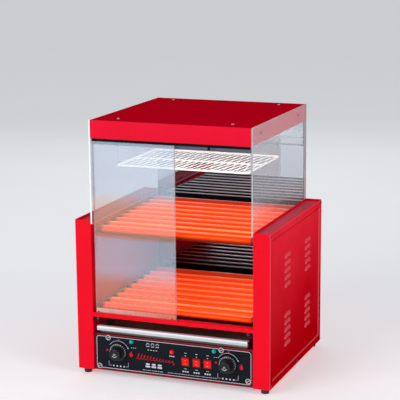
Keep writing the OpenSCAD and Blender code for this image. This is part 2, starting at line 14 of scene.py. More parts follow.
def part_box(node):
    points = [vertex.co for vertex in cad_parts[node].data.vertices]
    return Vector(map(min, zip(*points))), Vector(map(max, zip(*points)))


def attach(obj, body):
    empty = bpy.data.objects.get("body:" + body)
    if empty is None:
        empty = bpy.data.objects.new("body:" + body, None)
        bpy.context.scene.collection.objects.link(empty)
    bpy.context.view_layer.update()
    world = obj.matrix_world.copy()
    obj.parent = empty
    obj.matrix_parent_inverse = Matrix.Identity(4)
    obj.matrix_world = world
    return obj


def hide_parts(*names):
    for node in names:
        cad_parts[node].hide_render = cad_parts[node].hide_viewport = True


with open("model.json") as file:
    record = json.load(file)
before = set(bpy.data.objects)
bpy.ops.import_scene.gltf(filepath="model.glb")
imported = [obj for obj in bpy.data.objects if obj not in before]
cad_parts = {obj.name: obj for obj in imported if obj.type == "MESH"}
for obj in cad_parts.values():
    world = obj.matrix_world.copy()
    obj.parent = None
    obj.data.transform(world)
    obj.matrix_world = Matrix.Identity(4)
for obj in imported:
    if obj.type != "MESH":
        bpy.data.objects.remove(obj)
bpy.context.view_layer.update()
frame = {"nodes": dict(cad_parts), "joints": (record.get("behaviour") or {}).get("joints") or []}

MM = 0.001
X, Y, Z = Vector((1, 0, 0)), Vector((0, 1, 0)), Vector((0, 0, 1))
TAU = 2 * math.pi


# ---------------------------------------------------------------- measures from the frame

def box(node):
    """Lowest and highest corner of a CAD node, in millimetres."""
    lo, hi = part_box(node)
    return lo / MM, hi / MM


def islands(node):
    """The boxes of a node's separate solids, in millimetres, sorted by place."""
    mesh = frame["nodes"][node].data
    keys = {}
    same = [keys.setdefault(tuple(round(c, 6) for c in v.co), i)
            for i, v in enumerate(mesh.vertices)]
    root = list(range(len(same)))

    def find(i):
        while root[i] != i:
            root[i] = root[root[i]]
            i = root[i]
        return i

    for a, b in mesh.edge_keys:
        root[find(same[a])] = find(same[b])
    groups = {}
    for i, v in enumerate(mesh.vertices):
        groups.setdefault(find(same[i]), []).append(v.co)
    boxes = []
    for points in groups.values():
        lo = Vector([min(p[k] for p in points) for k in range(3)]) / MM
        hi = Vector([max(p[k] for p in points) for k in range(3)]) / MM
        boxes.append((lo, hi))
    return sorted(boxes, key=lambda b: tuple(round(c, 1) for c in b[0]))


def joint_place(name):
    """The place of a joint, in millimetres."""
    return Vector(next(j for j in frame["joints"] if j["name"] == name)["pos_m"]) / MM


def face_centre(lo, hi):
    """The middle of a box as seen from the front: its x and z."""
    return (lo.x + hi.x) / 2, (lo.z + hi.z) / 2


HOUSING = box("right_housing")
FRONT, BACK = HOUSING[0].y, HOUSING[1].y
BASE, HOUSING_TOP = HOUSING[0].z, HOUSING[1].z
LABEL = box("panel_label")
FACE = LABEL[0].y
WALL = HOUSING[0].x
RAIL_FOLD = box("front_rail")[0].z * MM + 0.012
TRAY_FOLD = (box("drip_tray")[1].z - 6.7) * MM


# ---------------------------------------------------------------- materials

class Look:
    """A Principled material made of nodes that read object coordinates."""

    def __init__(self, name, **values):
        self.mat = bpy.data.materials.new(name)
        self.mat.use_nodes = True
        self.tree = self.mat.node_tree
        self.bsdf = self.tree.nodes["Principled BSDF"]
        self.coords = self.tree.nodes.new("ShaderNodeTexCoord").outputs["Object"]
        self.set(**values)

    def join(self, value, socket):
        """Links a node's output to a socket, or gives the socket a plain value."""
        if isinstance(value, bpy.types.NodeSocket):
            self.tree.links.new(value, socket)
        elif isinstance(value, tuple) and len(socket.default_value) == 4:
            socket.default_value = (*value, 1)
        else:
            socket.default_value = value

    def set(self, **values):
        for key, value in values.items():
            name = key.replace("_", " ").title().replace("Ior", "IOR")
            self.join(value, self.bsdf.inputs[name])
        return self

    def node(self, kind, out=0, props=(), **inputs):
        n = self.tree.nodes.new("ShaderNode" + kind)
        for key, value in dict(props).items():
            setattr(n, key, value)
        for key, value in inputs.items():
            place = int(key[1:]) if key[0] == "_" else key.replace("_", " ").title()
            self.join(value, n.inputs[place])
        return n.outputs[out]

    def stretched(self, scale):
        return self.node("Mapping", vector=self.coords, scale=scale)

    def noise(self, scale, detail=3.0, vector=None):
        return self.node("TexNoise", vector=vector or self.coords, scale=scale, detail=detail)

    def ramp(self, value, lo, hi, a, b):
        """value from lo..hi turned into a..b."""
        return self.node("MapRange", _0=value, _1=lo, _2=hi, _3=a, _4=b)

    def math(self, operation, a, b=0.0):
        return self.node("Math", props={"operation": operation}, _0=a, _1=b)

    def mix(self, factor, a, b):
        """A colour mixed from a to b by factor."""
        n = self.tree.nodes.new("ShaderNodeMix")
        n.data_type = "RGBA"
        for place, value in (("Factor", factor), (6, a), (7, b)):
            self.join(value, n.inputs[place])
        return n.outputs[2]

    def axis(self, vector, name):
        """One axis of a vector."""
        return self.node("SeparateXYZ", "XYZ".index(name), vector=vector)

    def bump(self, height, strength, distance=0.1):
        return self.set(normal=self.node("Bump", strength=strength, distance=distance * MM,
                                         height=height))


FOLD_HIGHLIGHT = (0.98, 0.16, 0.18)


def paint(name, dark, light, rough=0.3, gloss=0.08, low=None, low_z=(0.06, 0.42), chamber_wall_shade=None,
          recess_reflection=None, top=None, pressed=None):
    """Gloss paint over sheet metal: colour drift, fine orange peel, a painted highlight on up
    folds.

    low is a painted shade the paint falls to between the heights low_z; chamber_wall_shade is a
    painted shade on faces that stand on the walls of the cooking chamber, recess_reflection a
    painted reflection on the sunk top of a housing, top a painted shade on level faces, and
    pressed the pair of painted highlight and painted shade for the slopes of pressed sheet.
    """
    look = Look(name)
    drift = look.ramp(look.noise(2.2), 0.35, 0.65, 0.0, 1.0)
    colour = look.mix(drift, dark, light)
    # Painted shade: below the heights low_z the paint falls to the dark colour low.
    if low:
        height = look.axis(look.coords, "Z")
        colour = look.mix(look.ramp(height, low_z[0], low_z[1], 1.0, 0.0), colour, low)
    # Painted shade: faces on the walls of the cooking chamber take the given dark colour.
    if chamber_wall_shade:
        away = look.math("ABSOLUTE", look.axis(look.coords, "X"))
        wall = (WALL + 0.3) * MM
        colour = look.mix(look.ramp(away, wall, wall - 0.0001, 0.0, 1.0), colour, chamber_wall_shade)
    up = look.axis(look.node("NewGeometry", 1), "Z")
    # Painted reflection: up-facing faces in the sunk top of a housing take a paler colour.
    if recess_reflection:
        height = look.axis(look.coords, "Z")
        floor, rim = HOUSING_TOP - 11, HOUSING_TOP - 2
        sunk = look.math("MULTIPLY",
                         look.ramp(height, floor * MM, (floor + 0.5) * MM, 0.0, 1.0),
                         look.ramp(height, rim * MM, (rim + 0.5) * MM, 1.0, 0.0))
        sunk = look.math("MULTIPLY", sunk, look.ramp(up, 0.5, 0.9, 0.0, 1.0))
        colour = look.mix(sunk, colour, recess_reflection)
    # Painted shade: level faces take a darker colour.
    if top:
        colour = look.mix(look.ramp(up, 0.9, 0.98, 0.0, 1.0), colour, top)
    # Painted highlight on slopes whose normals point to -Y, painted shade on slopes pointing to +Y
    # or down.
    if pressed:
        along = look.axis(look.node("NewGeometry", 1), "Y")
        colour = look.mix(look.ramp(along, -0.12, -0.4, 0.0, 0.7), colour, pressed[0])
        shade = look.math("MAXIMUM", look.ramp(along, 0.12, 0.4, 0.0, 0.8),
                          look.ramp(up, -0.1, -0.4, 0.0, 0.8))
        colour = look.mix(shade, colour, pressed[1])
    # Painted highlight: faces tilted partly upward, as on folds, are mixed toward a pale red.
    fold_highlight = look.math("MULTIPLY", look.ramp(up, 0.12, 0.36, 0.0, 0.5),
                     look.ramp(up, 0.84, 0.95, 1.0, 0.0))
    colour = look.mix(fold_highlight, colour, FOLD_HIGHLIGHT)
    look.set(base_color=colour, specular_ior_level=look.ramp(up, 0.5, 0.95, gloss, 0.0))
    look.set(roughness=look.ramp(look.noise(30.0, 4.0), 0.3, 0.7, rough - 0.03, rough + 0.05))
    return look.bump(look.noise(420.0, 2.0), 0.03).mat


def brushed(name, colour, rough=0.24, along=(6.0, 900.0, 900.0), strength=0.12, dim=0.78,
            metallic=1.0):
    """Brushed metal with its grain along one axis."""
    look = Look(name, metallic=metallic)
    grain = look.noise(1.0, 4.0, look.stretched(along))
    cloud = look.noise(14.0, 3.0)
    tone = look.ramp(grain, 0.3, 0.7, 0.0, 1.0)
    look.set(base_color=look.mix(tone, tuple(c * dim for c in colour), colour))
    look.set(roughness=look.math("ADD", look.ramp(cloud, 0.3, 0.7, rough - 0.05, rough + 0.05),
                                 look.ramp(grain, 0.3, 0.7, -0.04, 0.06)))
    return look.bump(grain, strength, 0.05).mat


def tray_steel(name, colour, bright, level):
    """Rolled steel whose band above a level in metres gets a painted highlight, brighter than the
    rest.
    """
    look = Look(name, metallic=0.3)
    grain = look.noise(1.0, 3.0, look.stretched((1.2, 60.0, 60.0)))
    # Painted highlight: above the level the steel turns to the brighter colour.
    fold_highlight = look.ramp(look.axis(look.coords, "Z"), level - 0.0003, level + 0.0003, 0.0, 1.0)
    dim = tuple(c * 0.93 for c in colour)
    tone = look.mix(look.ramp(grain, 0.35, 0.65, 0.0, 1.0), dim, colour)
    look.set(base_color=look.mix(fold_highlight, tone, bright))
    look.set(roughness=look.ramp(grain, 0.3, 0.7, 0.4, 0.5))
    return look.mat


def polished(name, dark, light):
    """Mirror-polished sheet with a slow haze."""
    look = Look(name, metallic=1.0)
    haze = look.noise(3.0, 2.0)
    look.set(base_color=look.mix(look.ramp(haze, 0.3, 0.7, 0.0, 1.0), dark, light))
    look.set(roughness=look.ramp(haze, 0.3, 0.7, 0.015, 0.04))
    return look.mat


def moulded(name, colour, rough=0.4, glow=0.0, grain=1400.0, **values):
    """Moulded plastic or rubber with a fine grain."""
    look = Look(name, **values)
    cloud = look.ramp(look.noise(90.0), 0.3, 0.7, 0.0, 1.0)
    look.set(base_color=look.mix(cloud, tuple(c * 0.8 for c in colour), colour))
    look.set(roughness=look.ramp(look.noise(240.0), 0.3, 0.7, rough - 0.06, rough + 0.08))
    if glow:
        look.set(emission_color=colour, emission_strength=glow)
    return look.bump(look.noise(grain, 2.0), 0.12, 0.08).mat


# Along a tube, the painted glow is full inside the first and gone beyond the second, in metres.
GLOW_FULL_X, GLOW_GONE_X = 0.209, 0.2222


def painted_glow_roller(name, gain):
    """Satin stainless tube, its steel painted dark as shade with a painted highlight on its crest,
    and a painted orange glow on the front of its middle, paler on its crest, over a dark painted
    underlay.
    """
    look = Look(name, metallic=1.0)
    grain = look.noise(1.0, 4.0, look.stretched((420.0, 9.0, 9.0)))
    ends = look.math("ABSOLUTE", look.axis(look.coords, "X"))
    normal = look.node("NewGeometry", 1)
    # Painted glow: only faces turned forward and not down, away from the tube ends, glow.
    front = look.ramp(look.axis(normal, "Y"), 0.12, -0.2, 0.0, 1.0)
    under = look.ramp(look.axis(normal, "Z"), -0.3, 0.2, 0.0, 1.0)
    middle = look.math("MULTIPLY", look.ramp(ends, GLOW_GONE_X, GLOW_FULL_X, 0.0, 1.0), front)
    hot = look.math("MULTIPLY", middle, under)
    # Painted highlight: the glow turns paler on the crest.
    crest = look.ramp(look.axis(normal, "Z"), 0.70, 0.95, 0.0, 1.0)
    # Painted highlight along the crest of the steel, which elsewhere is painted dark as shade.
    shine = look.ramp(look.axis(normal, "Z"), 0.80, 0.99, 0.0, 1.0)
    steel = look.mix(shine, (0.03, 0.03, 0.034), (0.92, 0.92, 0.95))
    steel = look.mix(look.ramp(grain, 0.3, 0.7, 0.0, 0.08), steel, (0.3, 0.3, 0.31))
    # Painted underlay beneath the glow: dark orange, oranger with more gain.
    glow_underlay = look.mix(min(1.0, gain), (0.05, 0.016, 0.012), (0.34, 0.035, 0.006))
    look.set(base_color=look.mix(middle, steel, glow_underlay))
    look.set(roughness=look.ramp(grain, 0.3, 0.7, 0.3, 0.38))
    glow = look.mix(crest, (1.0, 0.028, 0.0), (1.0, 0.2 * gain, 0.075 * gain))
    look.set(emission_color=glow, emission_strength=look.math("MULTIPLY", hot, gain))
    return look.bump(grain, 0.03, 0.05).mat


def pane(name, colour, alpha, roller_glow_tint):
    """Clear float glass under a faint whitish veil that is a painted reflection, thicker higher
    up, and tinted by a painted roller glow at the heights of the two roller tiers, where the veil
    thins.
    """
    look = Look(name, specular_ior_level=0.5, ior=1.5)
    haze = look.noise(1.0, 2.0, look.stretched((2.5, 2.5, 7.0)))
    high = look.axis(look.coords, "Z")
    # Painted roller glow: bands at the heights of the roller tiers tint the glass.
    deck_glow = 0.0
    for tier in ("lower", "upper"):
        lo, hi = (corner.z * MM for corner in box(f"{tier}_roller_1"))
        band = look.math("MULTIPLY", look.ramp(high, lo - 0.004, lo + 0.008, 0.0, 1.0),
                         look.ramp(high, hi + 0.06, hi + 0.10, 1.0, 0.0))
        deck_glow = look.math("MAXIMUM", band, deck_glow)
    look.set(base_color=look.mix(deck_glow, colour, tuple(c * w for c, w in zip(colour, roller_glow_tint))))
    look.set(roughness=look.ramp(haze, 0.3, 0.7, 0.03, 0.09))
    # Painted reflection: the whitish veil grows more opaque with height and thins at the roller
    # tiers.
    body = look.ramp(high, 0.2, 0.6, alpha * 0.8, alpha)
    body = look.math("MULTIPLY", body, look.ramp(deck_glow, 0.0, 1.0, 1.15, 0.9))
    look.set(alpha=look.math("ADD", body, look.ramp(haze, 0.3, 0.7, -0.02, 0.02)))
    return look.mat


def frosted(name, pale, roller_glow_tint, alpha):
    """A frosted strip, pale at its left end and orange toward its right, with a painted glow,
    fainter at the left, for the rollers' light on it.
    """
    look = Look(name, specular_ior_level=0.1)
    along = look.ramp(look.axis(look.coords, "X"), -0.22, 0.03, 0.0, 1.0)
    haze = look.ramp(look.noise(60.0), 0.3, 0.7, -0.04, 0.04)
    look.set(base_color=look.mix(along, pale, roller_glow_tint), roughness=0.35)
    # Painted glow: the strip emits its orange, more toward its right end.
    look.set(emission_color=roller_glow_tint, emission_strength=look.ramp(along, 0.0, 1.0, 0.1, 0.5))
    look.set(alpha=look.math("ADD", look.ramp(along, 0.0, 1.0, alpha, alpha * 0.5), haze))
    return look.mat


RED = paint("red_paint", (0.84, 0.001, 0.014), (0.92, 0.0015, 0.019))
# Housing paint: the walls inside the cooking chamber carry a near-black painted shade and the sunk
# tops a pinkish painted reflection.
RED_HOUSING = paint("red_housing_paint", (0.84, 0.001, 0.014), (0.92, 0.0015, 0.019),
                    chamber_wall_shade=(0.026, 0.004, 0.007), recess_reflection=(0.66, 0.09, 0.13))
# Rail paint: below its fold the rail and its tabs fall to a near-black painted shade.
RED_RAIL = paint("red_rail_paint", (0.84, 0.001, 0.012), (0.92, 0.0015, 0.016),
                 low=(0.022, 0.0005, 0.002), low_z=(RAIL_FOLD - 0.0006, RAIL_FOLD - 0.0002))
# Cover paint: its level faces carry a darker painted shade.
RED_COVER = paint("red_cover_paint", (0.78, 0.002, 0.024), (0.86, 0.003, 0.034),
                  top=(0.66, 0.0008, 0.014))
# Side-cover paint: darker toward the bottom as painted shade, a painted highlight and painted
# shade on its pressed slopes, and its wide drift between the two reds a painted soft sheen.
RED_SIDE = paint("red_side_paint", (0.80, 0.006, 0.020), (0.98, 0.032, 0.056), 0.3, 0.0,
                 (0.50, 0.0, 0.004), pressed=((1.0, 0.13, 0.17), (0.20, 0.0, 0.003)))
RED_DARK = paint("dark_red_paint", (0.16, 0.002, 0.008), (0.23, 0.004, 0.012), 0.34, 0.2)
STAINLESS = brushed("stainless", (0.27, 0.33, 0.29), 0.40, (2.2, 34.0, 34.0), 0.15, dim=0.12,
                    metallic=0.75)
# Tray lip steel with a painted highlight on its upper band.
TRAY_LIP = tray_steel("tray_lip_steel", (0.62, 0.64, 0.68), (0.76, 0.75, 0.78), TRAY_FOLD)
ZINC = brushed("zinc_steel", (0.62, 0.63, 0.66), 0.3, (60.0, 60.0, 60.0), 0.06)
# The rack's wire glows: a painted highlight for the lamp's light on it.
WIRE_GLOW = moulded("wire_painted_glow", (0.80, 0.88, 0.84), 0.3, 0.66, metallic=0.1)
ALUMINIUM = brushed("aluminium", (0.52, 0.55, 0.60), 0.32, (6.0, 700.0, 700.0), 0.05)
DARK_ALUMINIUM = brushed("dark_aluminium", (0.10, 0.12, 0.16), 0.34, (6.0, 700.0, 700.0), 0.05)
MIRROR = polished("mirror_steel", (0.33, 0.36, 0.40), (0.40, 0.43, 0.47))
OILED = brushed("oiled_steel", (0.3, 0.29, 0.27), 0.36, (80.0, 80.0, 80.0), 0.1)
MOTOR = paint("motor_grey", (0.05, 0.055, 0.06), (0.075, 0.08, 0.085), 0.42)
LABEL_BLACK = moulded("black_label", (0.0055, 0.0085, 0.0145), 0.5, grain=2600.0,
                      specular_ior_level=0.1)
KNOB = moulded("knob_plastic", (0.009, 0.0095, 0.012), 0.2, specular_ior_level=0.3)
BLACK = moulded("black_plastic", (0.012, 0.012, 0.014), 0.42, specular_ior_level=0.3)
BRUSH = moulded("black_brush", (0.004, 0.004, 0.005), 0.8, specular_ior_level=0.1)
RUBBER = moulded("rubber", (0.02, 0.02, 0.021), 0.7, grain=700.0)
BUSH = moulded("graphite_bush", (0.20, 0.14, 0.13), 0.5)
# The red rocker keys carry a faint painted glow.
ROCKER = moulded("red_rocker", (0.90, 0.004, 0.003), 0.3, 0.2, specular_ior_level=0.15)
LENS_RED = moulded("red_lens", (0.92, 0.004, 0.008), 0.2, 0.35, specular_ior_level=0.3)
LENS_TEAL = moulded("teal_lens", (0.0, 0.36, 0.32), 0.2, 0.12, specular_ior_level=0.3)
INK_PALE = moulded("pale_ink", (0.66, 0.66, 0.72), 0.5, specular_ior_level=0.2)
# Pale dial marks: print, and the painted highlight arc on the dished face.
DIAL_PRINT_AND_HIGHLIGHT = moulded("dial_print_and_highlight", (0.56, 0.57, 0.63), 0.4, specular_ior_level=0.3)
# The red print also carries a faint painted glow.
INK_RED = moulded("red_ink", (0.72, 0.006, 0.02), 0.5, 0.05, specular_ior_level=0.15)
SCREW_DARK = moulded("dark_screw", (0.03, 0.032, 0.036), 0.3)
# Panes: each whitish veil is a painted reflection, and the last colour tints it with a painted
# roller glow.
GLASS = pane("clear_glass", (0.66, 0.80, 0.95), 0.155, (1.24, 0.68, 0.44))
SIDE_GLASS = pane("side_glass", (0.80, 0.84, 0.90), 0.18, (1.0, 0.9, 0.8))
SHADED_GLASS = pane("shaded_glass", (0.44, 0.49, 0.60), 0.25, (1.0, 1.0, 1.0))
# Pane edges glow faintly: a painted highlight along the polished edges.
GLASS_EDGE_GLOW = moulded("glass_edge", (0.86, 0.93, 0.92), 0.25, 0.18, coat_weight=0.6)
PANE_EDGE_GLOW = moulded("pane_edge", (0.46, 0.48, 0.49), 0.25, 0.03, coat_weight=0.4)
# The door strip carries a painted roller glow toward its right end.
STRIP = frosted("frosted_strip", (0.92, 0.62, 0.58), (0.95, 0.22, 0.14), 0.45)
LAMP = moulded("lamp_white", (1.0, 0.97, 0.92), 0.2, 9.0)
# Painted glow strength by roller number: the second roller gets a brighter painted highlight and
# the back rows a fading glow.
ROW_GLOW = {2: 1.3, 7: 0.95, 8: 0.8, 9: 0.45}
GLOW_LOOKS = {gain: painted_glow_roller(f"painted_glow_roller_{int(gain * 100)}", gain)
       for gain in sorted({1.0, *ROW_GLOW.values()})}


# ---------------------------------------------------------------- shapes

class Shape:
    """A mesh being built from closed parts."""

    def __init__(self):
        self.bm = bmesh.new()

    def mesh(self, verts, faces, mat=0):
        made = [self.bm.verts.new(v) for v in verts]
        for corners in faces:
            self.bm.faces.new([made[i] for i in corners]).material_index = mat

    def block(self, lo, hi):
        corners = [(x, y, z) for x in (lo[0], hi[0]) for y in (lo[1], hi[1])
                   for z in (lo[2], hi[2])]
        self.mesh(corners, [(0, 1, 3, 2), (4, 6, 7, 5), (0, 4, 5, 1), (2, 3, 7, 6), (0, 2, 6, 4),
                            (1, 5, 7, 3)])

    def prism(self, outline, origin, u, v, length, mat=0):
        """A flat outline in the plane of u and v, pulled out by length along their normal."""
        out = u.cross(v) * length
        n = len(outline)
        base = [Vector(origin) + u * p[0] + v * p[1] for p in outline]
        sides = [(i, (i + 1) % n, n + (i + 1) % n, n + i) for i in range(n)]
        self.mesh(base + [p + out for p in base],
                  [tuple(range(n))[::-1], tuple(range(n, 2 * n))] + sides, mat)

    def lathe(self, profile, origin, along, mat=0, segments=48, ring=False, wobble=None):
        """A profile of (radius, place along the axis) turned about the axis.

        A ring's profile closes on itself, and wobble adds to the radius.
        """
        along = Vector(along)
        u = X if abs(along.x) < 0.5 else Y
        v = along.cross(u)
        verts, rows = [], []
        for r, t in profile:
            row = []
            for k in range(segments if r > 1e-6 else 1):
                a = TAU * k / segments
                radius = r + (wobble(a, r, t) if wobble else 0)
                row.append(len(verts))
                way = u * math.cos(a) + v * math.sin(a)
                verts.append(Vector(origin) + along * t + way * radius)
            rows.append(row)
        faces = []
        pairs = list(zip(rows, rows[1:] + rows[:1])) if ring else list(zip(rows, rows[1:]))
        for a, b in pairs:
            for k in range(segments):
                n = (k + 1) % segments
                quad = [a[k % len(a)], a[n % len(a)], b[n % len(b)], b[k % len(b)]]
                corners = list(dict.fromkeys(quad))
                if len(corners) > 2:
                    faces.append(corners)
        if not ring:
            faces += [tuple(row) for row in (rows[0], rows[-1]) if len(row) > 1]
        self.mesh(verts, faces, mat)

    def sweep(self, path, section, side=None, closed=False):
        """A section of (across, up) points carried along a path with its side direction held."""
        n, m = len(path), len(section)
        verts, faces = [], []
        for i, p in enumerate(path):
            before = path[i - 1] if i or closed else p
            after = path[(i + 1) % n] if i < n - 1 or closed else p
            way = (Vector(after) - Vector(before)).normalized()
            across = way.cross(side or Z).normalized()
            up = across.cross(way)
            verts += [Vector(p) + across * a + up * b for a, b in section]
        for i in range(n if closed else n - 1):
            j = (i + 1) % n
            faces += [(i * m + k, i * m + (k + 1) % m, j * m + (k + 1) % m, j * m + k)
                      for k in range(m)]
        if not closed:
            faces += [tuple(range(m))[::-1], tuple(range((n - 1) * m, n * m))]
        self.mesh(verts, faces)


def circle(radius, segments=12):
    return [(radius * math.cos(TAU * k / segments), radius * math.sin(TAU * k / segments))
            for k in range(segments)]


def arc(cx, cz, radius, start, end, steps=24):
    """Points on an arc, with its angles in degrees from +X."""
    angles = [math.radians(start + (end - start) * k / steps) for k in range(steps + 1)]
    return [(cx + radius * math.cos(a), cz + radius * math.sin(a)) for a in angles]


def rounded(x0, z0, x1, z1, radius, steps=6):
    """The outline of a rounded rectangle."""
    points = []
    for cx, cz, start in ((x1 - radius, z1 - radius, 0), (x0 + radius, z1 - radius, 90),
                          (x0 + radius, z0 + radius, 180), (x1 - radius, z0 + radius, 270)):
        points += arc(cx, cz, radius, start, start + 90, steps)
    return points


def soften(obj, width, angle=35.0, weld=False):
    """Rounds the edges sharper than an angle by a width in millimetres.

    weld first joins a CAD mesh's loose facets and merges the ones that lie in one plane.
    """
    if weld:
        obj.modifiers.new("weld", "WELD").merge_threshold = 0.002 * MM
        flat = obj.modifiers.new("flat", "DECIMATE")
        flat.decimate_type = "DISSOLVE"
        flat.angle_limit = math.radians(0.4)
    bevel = obj.modifiers.new("edge", "BEVEL")
    bevel.width = width * MM
    bevel.segments = 2
    bevel.limit_method = "ANGLE"
    bevel.angle_limit = math.radians(angle)
    bevel.harden_normals = True
    bevel.use_clamp_overlap = True


def piece(shape, name, body, mats, stands_for=(), edge=0.0, angle=35.0):
    """Turns a shape into a named piece that rides on a body."""
    bm = shape.bm
    bmesh.ops.recalc_face_normals(bm, faces=bm.faces)
    bmesh.ops.scale(bm, vec=(MM,) * 3, verts=bm.verts)
    mesh = bpy.data.meshes.new(name)
    bm.to_mesh(mesh)
    bm.free()
    for mat in mats if isinstance(mats, (list, tuple)) else [mats]:
        mesh.materials.append(mat)
    mesh.shade_smooth()
    if not edge:
        mesh.set_sharp_from_angle(angle=math.radians(angle))
    obj = bpy.data.objects.new(name, mesh)
    bpy.context.scene.collection.objects.link(obj)
    if edge:
        soften(obj, edge, angle)
    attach(obj, body)
    if stands_for:
        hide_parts(*stands_for)
    return obj


# ---------------------------------------------------------------- CAD nodes that stay

KEPT = {
    "base_pan": (RED_DARK, 0.5),
    "left_housing": (RED_HOUSING, 0.7), "right_housing": (RED_HOUSING, 0.7),
    "rear_panel": (RED, 0.4), "mirror_panel": (MIRROR, 0), "front_rail": (RED_RAIL, 0.5),
    "control_panel": (RED_DARK, 0.4), "panel_label": (LABEL_BLACK, 0.25),
    "top_cover": (RED_COVER, 1.3),
    "upper_door_track": (DARK_ALUMINIUM, 0.3), "lower_door_track": (RED, 0.3),
    "switch_bodies": (BLACK, 0.35), "thermostats": (ZINC, 0.5), "rack_hangers": (ZINC, 0),
    "lamp_tube": (LAMP, 0), "lamp_holder": (ALUMINIUM, 0.6), "roller_bushes": (BUSH, 0),
    "heater_rods": (ZINC, 0), "heater_brackets": (ZINC, 0.3), "upper_chain": (OILED, 0),
    "lower_chain": (OILED, 0), "gear_motors": (MOTOR, 0.8), "upper_motor_sprocket": (OILED, 0),
    "lower_motor_sprocket": (OILED, 0),
}
for name, (mat, edge) in KEPT.items():
    node = frame["nodes"][name]
    node.data.materials.clear()
    node.data.materials.append(mat)
    if edge:
        soften(node, edge, weld=True)


# ---------------------------------------------------------------- rollers

TUBE_R, COLLAR_R, JOURNAL_R, ROD_BORE_R = 12.7, 10, 8, 5
TUBE_GAP, COLLAR_LENGTH = 10.4, 7.9
TUBE_RIM, TUBE_STEPS, TUBE_SIDES = 0.7, 12, 56
TEETH, PITCH_R, TOOTH_HALF = 12, 12.83, 1.8
SPROCKET_WIDTH, SPROCKET_GAP = 3, 8.7


def roller_piece(tier, number):
    """A roller tube with rounded ends, collars, journals and its sprocket."""
    node = f"{tier}_roller_{number}"
    lo, hi = box(node)
    centre = (lo + hi) / 2
    wall = box("left_housing")[1].x
    tube = wall + TUBE_GAP
    collar = tube - COLLAR_LENGTH
    r, rim = TUBE_R, TUBE_RIM
    ends = []
    for tip in (lo.x, -hi.x):
        ends.append([(ROD_BORE_R, tip), (JOURNAL_R - 0.4, tip), (JOURNAL_R, tip + 0.4),
                     (JOURNAL_R, collar), (COLLAR_R - 0.4, collar), (COLLAR_R, collar + 0.4),
                     (COLLAR_R, tube), (r - rim, tube), (r - 0.2, tube + 0.2), (r, tube + rim)])
    span = -2 * (tube + rim)
    middle = [(r, tube + rim + span * k / TUBE_STEPS) for k in range(1, TUBE_STEPS)]
    profile = ends[0] + middle + [(radius, -x) for radius, x in reversed(ends[1])]
    shape = Shape()
    shape.lathe(profile, (0, centre.y, centre.z), X, segments=TUBE_SIDES, ring=True)
    outline = []
    for i in range(TEETH):
        for turn, radius in ((-7.8, PITCH_R - TOOTH_HALF), (-5.2, PITCH_R), (-2, PITCH_R + 1.7),
                             (2, PITCH_R + 1.7), (5.2, PITCH_R), (7.8, PITCH_R - TOOTH_HALF)):
            a = math.radians((i + 0.5) * 360 / TEETH + turn)
            outline.append((radius * math.cos(a), radius * math.sin(a)))
    seat = (wall - SPROCKET_GAP - SPROCKET_WIDTH, centre.y, centre.z)
    shape.prism(outline, seat, Y, Z, SPROCKET_WIDTH)
    piece(shape, f"{node}_tube", node, GLOW_LOOKS[ROW_GLOW.get(number, 1.0)], [node], angle=40)


for tier in ("upper", "lower"):
    for number in range(1, 10):
        roller_piece(tier, number)


# ---------------------------------------------------------------- glass

def glass_piece(node, body, mat, rim):
    """A pane whose polished edges carry a painted glow for the light they catch."""
    lo, hi = box(node)
    thin = min(range(3), key=lambda k: hi[k] - lo[k])
    shape = Shape()
    shape.block(lo, hi)
    for face in shape.bm.faces:
        face.normal_update()
        face.material_index = 0 if abs(face.normal[thin]) > 0.5 else 1
    piece(shape, f"{node}_pane", body, [mat, rim], [node], edge=0.5)


def door_strip(node):
    """A frosted strip along the foot of a door pane, with a small stop near each end."""
    lo, hi = box(node)
    foot = box("lower_door_track")[1].z + 1.0
    gap, thick, tall = 0.1, 0.7, 13
    shape = Shape()
    outline = [(-gap, 0), (0.2 - thick, 0.2), (-thick, 0.8), (-thick, tall - 0.8),
               (0.2 - thick, tall - 0.2), (-gap, tall)]
    shape.prism(outline, (lo.x + 1, lo.y, foot), Y, Z, hi.x - lo.x - 2)
    stop = rounded(-2.5, 0.6, 2.5, 3.4, 1.2, 3)
    for x in (lo.x + 7, hi.x - 12):
        shape.prism(stop, (x, lo.y - thick, foot), X, Z, 0.6, 1)
    piece(shape, f"{node}_strip", node, [STRIP, BLACK], (), angle=30)


def track_stop():
    """The black brush strip of the upper track and the rubber stop for the doors."""
    lo, hi = box("upper_door_track")
    lip = box("top_cover")[0].z
    stop_x = 111
    shape = Shape()
    shape.block((lo.x + 2, lo.y - 0.7, lip - 7.5), (hi.x - 2, lo.y, lip - 0.4))
    outline = [(-3.6, 0), (3.6, 0), (3.2, -7.2), (2.2, -8.6), (-2.2, -8.6), (-3.2, -7.2)]
    shape.prism(outline, (stop_x, lo.y, lip - 7.3), X, Z, 1.0)
    piece(shape, "upper_track_stop", "cabinet", BRUSH, (), angle=30)


glass_piece("outer_door", "outer_door", GLASS, PANE_EDGE_GLOW)
glass_piece("inner_door", "inner_door", GLASS, PANE_EDGE_GLOW)
glass_piece("left_glass", "cabinet", SHADED_GLASS, GLASS_EDGE_GLOW)
glass_piece("right_glass", "cabinet", SIDE_GLASS, PANE_EDGE_GLOW)
door_strip("outer_door")
track_stop()


# ---------------------------------------------------------------- side covers

LOUVRE_PITCH = 20
LOUVRE_Z = [group + i * LOUVRE_PITCH for group in (142, 307) for i in range(-2, 3)]
LOUVRE_Y = [FRONT + 154, FRONT + 340]
LOUVRE_HALF = 27.0
LOUVRE_RISE = 4.0
LOUVRE_FOOT, LOUVRE_HEAD = 5.0, 9.5
CUT = 0.02
STEP_DEPTH = 2.0
COVER_PROUD, COVER_SHEET = 1.2, 1.1


def smooth(value, lo, hi):
    t = max(0.0, min(1.0, (value - lo) / (hi - lo)))
    return t * t * (3 - 2 * t)


